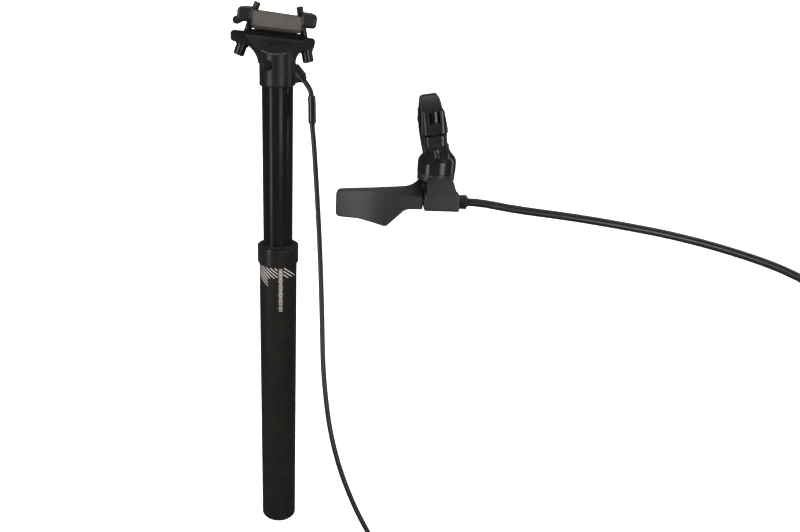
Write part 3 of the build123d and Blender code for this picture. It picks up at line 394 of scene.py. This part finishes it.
# ---------------------------------------------------------------- bare inner wires
WIRE_RADIUS = 0.6 * MM
WIRE_STEPS = 40
WIRE_SIDES = 12
HEAD_WIRE_MM = ((7.2, -3.0, 418.7), (16.07, -3.27, 412.75), (19.88, -4.95, 408.15))
HEAD_WIRE = [Vector(place) * MM for place in HEAD_WIRE_MM]
REMOTE_WIRE_ENDS = (-15.5, 14.5)  # from the lever's pivot, along the wire
REMOTE_WIRE_BEND = (-8.0, -4.5)
REMOTE_WIRE_Y = -11.0
REMOTE_WIRE_Z = -13.3
REMOTE_AT = Vector((81.0, -205.0, 386.0)) * MM
REMOTE_YAW = Matrix.Rotation(math.radians(-6.5), 3, "Z")


def at_remote(x, y, z):
    """A point given in millimetres from the lever's pivot, in the model's frame."""
    return REMOTE_AT + REMOTE_YAW @ (Vector((x, y, z)) * MM)


def make_wire(name, node, corners, moving, still, bend_start, bend_end):
    """A bare wire along a line of corners, in place of a CAD node, which it hides; it stays where it is drawn.
    """
    path = []
    for low, high in zip(corners, corners[1:]):
        path += [low.lerp(high, step / WIRE_STEPS) for step in range(WIRE_STEPS)]
    points, faces = tube_along(path + [corners[-1]], lambda share: WIRE_RADIUS, WIRE_SIDES)
    wire = piece(name, points, faces, "inner_wire")
    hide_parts(node)
    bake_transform(wire)


make_wire("head_wire_bending", "head_wire", HEAD_WIRE, "actuator_arm", "upper_post", HEAD_WIRE[0], HEAD_WIRE[1])
make_wire(
    "remote_wire_bending", "remote_wire", [at_remote(x, REMOTE_WIRE_Y, REMOTE_WIRE_Z) for x in REMOTE_WIRE_ENDS],
    "thumb_lever", "lower_post", *(at_remote(x, REMOTE_WIRE_Y, REMOTE_WIRE_Z) for x in REMOTE_WIRE_BEND),
)


# ---------------------------------------------------------------- printed marks on the outer tube
TUBE_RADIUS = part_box("outer_tube")[1].x
COLLAR_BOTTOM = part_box("seal_collar")[0].z
PRINT_RADIUS = TUBE_RADIUS + 0.00003
STRIPE_COUNT = 10
STRIPE_FIRST = -3.6 * MM
STRIPE_PITCH = 3.0 * MM
STRIPE_SLOPE = 0.21 * MM  # drop for each degree of turn
STRIPE_WIDTH = 0.75 * MM
STRIPE_SHORTEST = 2.0  # degrees of turn
SCALE_SIDES = (-1.0, 17.0)  # degrees that the scale takes
STRIPE_LENGTH = 42.0  # degrees of turn
STRIPE_LEFT = -74.0
STRIPE_RIGHT = 66.0
STRIPE_INSET = 0.4 * MM
STRIPE_STEPS = 16
TICK_COUNT = 31
TICK_FIRST = 1.5
TICK_PITCH = 1.25
TICK_WIDTH = 0.5 * MM
TICK_MIDDLE = 8.0  # degrees of turn
TICK_HALF = 5.2
LONG_TICK_HALF = 7.0
LONG_TICK_EVERY = 5
LONG_TICK_START = 3
TICK_STEPS = 4


def on_tube(turn, drop):
    """A point on the printed surface: degrees to the right of the middle, and how far under the collar."""
    angle = math.radians(turn)
    height = COLLAR_BOTTOM - drop
    return Vector((PRINT_RADIUS * math.sin(angle), -PRINT_RADIUS * math.cos(angle), height))


def bar_faces(points, faces, start, end, width, steps):
    """Add one printed bar between two places on the tube, each a turn and a drop."""
    (turn_a, drop_a), (turn_b, drop_b) = start, end
    first = len(points)
    for step in range(steps + 1):
        share = step / steps
        turn = turn_a + (turn_b - turn_a) * share
        drop = drop_a + (drop_b - drop_a) * share
        points.append(on_tube(turn, drop))
        points.append(on_tube(turn, drop + width))
    for step in range(steps):
        corner = first + 2 * step
        faces.append((corner, corner + 1, corner + 3, corner + 2))


def make_stripes():
    """Plain parallel stripes, evenly spaced, that slant down from under the collar, clear of the scale."""
    points, faces = [], []
    for index in range(STRIPE_COUNT):
        level = STRIPE_FIRST + STRIPE_PITCH * index
        start = max(STRIPE_LEFT, (STRIPE_INSET - level) / STRIPE_SLOPE)
        end = min(STRIPE_RIGHT, start + STRIPE_LENGTH)
        for low, high in ((start, min(end, SCALE_SIDES[0])), (max(start, SCALE_SIDES[1]), end)):
            if high - low > STRIPE_SHORTEST:
                places = [(turn, level + STRIPE_SLOPE * turn) for turn in (low, high)]
                bar_faces(points, faces, *places, STRIPE_WIDTH, STRIPE_STEPS)
    stripes = piece("printed_stripes", points, faces, "print", "lower_post")


def make_depth_scale():
    """A plain column of short level ticks, as a depth scale, down the tube's front."""
    points, faces = [], []
    for index in range(TICK_COUNT):
        drop = (TICK_FIRST + TICK_PITCH * index) * MM
        half = LONG_TICK_HALF if index % LONG_TICK_EVERY == LONG_TICK_START else TICK_HALF
        start, end = (TICK_MIDDLE - half, drop), (TICK_MIDDLE + half, drop)
        bar_faces(points, faces, start, end, TICK_WIDTH, TICK_STEPS)
    scale = piece("printed_scale", points, faces, "print", "lower_post")


make_stripes()
make_depth_scale()


# ---------------------------------------------------------------- painted glints of the seat's serrations on the cradle
TILT_AXIS = Vector((0, 0, 452.1)) * MM
CLAMP_TILT = Matrix.Rotation(math.radians(6.0), 3, "Y")
CRADLE_EDGE = 24.5  # depth under the tilt axis where the cradle's slanted face starts
CRADLE_FACE = 15.0  # cradle's front face, in front of the tilt axis
FACE_SLANT = 1.15
MARK_RADII = (24.2, 24.95)
MARK_PROUD = 0.08
MARK_HALF_WIDTH = 0.22
MARK_PITCH = 3.5  # degrees between marks
MARKS_EACH_SIDE = 6


def make_seat_painted_glints():
    """Short bright marks along the round lower edge of the cradle's front, where the seat's serration teeth are,
    coloured as their glints: a painted highlight.
    """
    points, faces = [], []
    for step in range(-MARKS_EACH_SIDE, MARKS_EACH_SIDE + 1):
        turn = math.radians(MARK_PITCH * step)
        first = len(points)
        for radius in MARK_RADII:
            depth = radius * math.cos(turn)
            front = CRADLE_FACE + max(0.0, CRADLE_EDGE - depth) * FACE_SLANT + MARK_PROUD
            for side in (-1, 1):
                place = Vector((radius * math.sin(turn) + side * MARK_HALF_WIDTH, -front, -depth))
                points.append(CLAMP_TILT @ place * MM + TILT_AXIS)
        faces.append((first, first + 1, first + 3, first + 2))
    marks = piece("seat_painted_glints", points, faces, "marks", "saddle_clamp", smooth=False)


make_seat_painted_glints()


# ---------------------------------------------------------------- studio
CAMERA_AT = Vector((5.0, -543.7, 465.3)) * MM
CAMERA_PITCH = 21.14
CAMERA_LENS = 31.05
CAMERA_SHIFT = 0.145
SWEEP_HALF_WIDTH = 4.0
SWEEP_STEPS = 16
SWEEP_WALL = 2.4
SWEEP_RADIUS = 0.9
SWEEP_HEIGHT = 3.0
WORLD_COLOUR = (1, 0.98, 0.96, 1)
WORLD_STRENGTH = 0.12
LIGHTS = [  # name, place, aim, size, power, colour
    ("key_strip", (-0.6, -0.5, 0.5), (0, 0, 0.25), (0.2, 1.1), 7.0, (1, 0.96, 0.92)),
    ("top_box", (0.2, 0.1, 1.9), (0.1, 0.0, 0.0), (2.4, 2.0), 15.0, (1, 1, 1)),
    ("wall_wash", (0.2, 0.6, 1.6), (0.2, 2.2, 0.5), (3.0, 0.8), 34.0, (1, 1, 1)),
    ("right_strip", (0.8, -0.1, 0.6), (0, 0, 0.3), (0.08, 1.0), 2.0, (1, 1, 1)),
    ("front_card", (0.42, -0.95, 0.34), (0.05, -0.2, 0.38), (0.35, 0.35), 4.0, (1, 0.97, 0.94)),
]


def area_light(name, place, aim, size, power, colour):
    """A rectangular softbox that faces a point and isn't seen itself."""
    light = bpy.data.lights.new(name, "AREA")
    light.shape = "RECTANGLE"
    light.size, light.size_y = size
    light.energy = power
    light.color = colour
    holder = bpy.data.objects.new(name, light)
    holder.location = place
    holder.rotation_euler = (Vector(aim) - Vector(place)).to_track_quat("-Z", "Y").to_euler()
    holder.visible_camera = False
    bpy.context.scene.collection.objects.link(holder)


def make_backdrop():
    """A seamless paper cove: the floor curves up into a wall behind the object and another behind the camera."""
    half, wall, radius = SWEEP_HALF_WIDTH, SWEEP_WALL, SWEEP_RADIUS
    curve = []
    for step in range(SWEEP_STEPS + 1):
        turn = math.radians(90 * step / SWEEP_STEPS)
        curve.append((wall - radius + radius * math.sin(turn), radius - radius * math.cos(turn)))
    curve.append((wall, SWEEP_HEIGHT))
    profile = [(-y, z) for y, z in reversed(curve)] + curve
    points = [(side * half, y, z) for y, z in profile for side in (-1, 1)]
    faces = [(2 * k, 2 * k + 1, 2 * k + 3, 2 * k + 2) for k in range(len(profile) - 1)]
    sweep = piece("floor", points, faces, "floor")
    sweep.visible_glossy = False


def make_studio():
    camera = bpy.data.cameras.new("camera")
    camera.lens = CAMERA_LENS
    camera.shift_x = CAMERA_SHIFT
    camera.clip_start = 0.01
    holder = bpy.data.objects.new("camera", camera)
    holder.location = CAMERA_AT
    holder.rotation_euler = (math.radians(90 - CAMERA_PITCH), 0, 0)
    bpy.context.scene.collection.objects.link(holder)
    bpy.context.scene.camera = holder
    make_backdrop()

    world = bpy.data.worlds.new("studio")
    world.use_nodes = True
    world.node_tree.nodes["Background"].inputs["Color"].default_value = WORLD_COLOUR
    world.node_tree.nodes["Background"].inputs["Strength"].default_value = WORLD_STRENGTH
    bpy.context.scene.world = world
    bpy.context.scene.view_settings.view_transform = "Standard"

    for light in LIGHTS:
        area_light(*light)


make_studio()
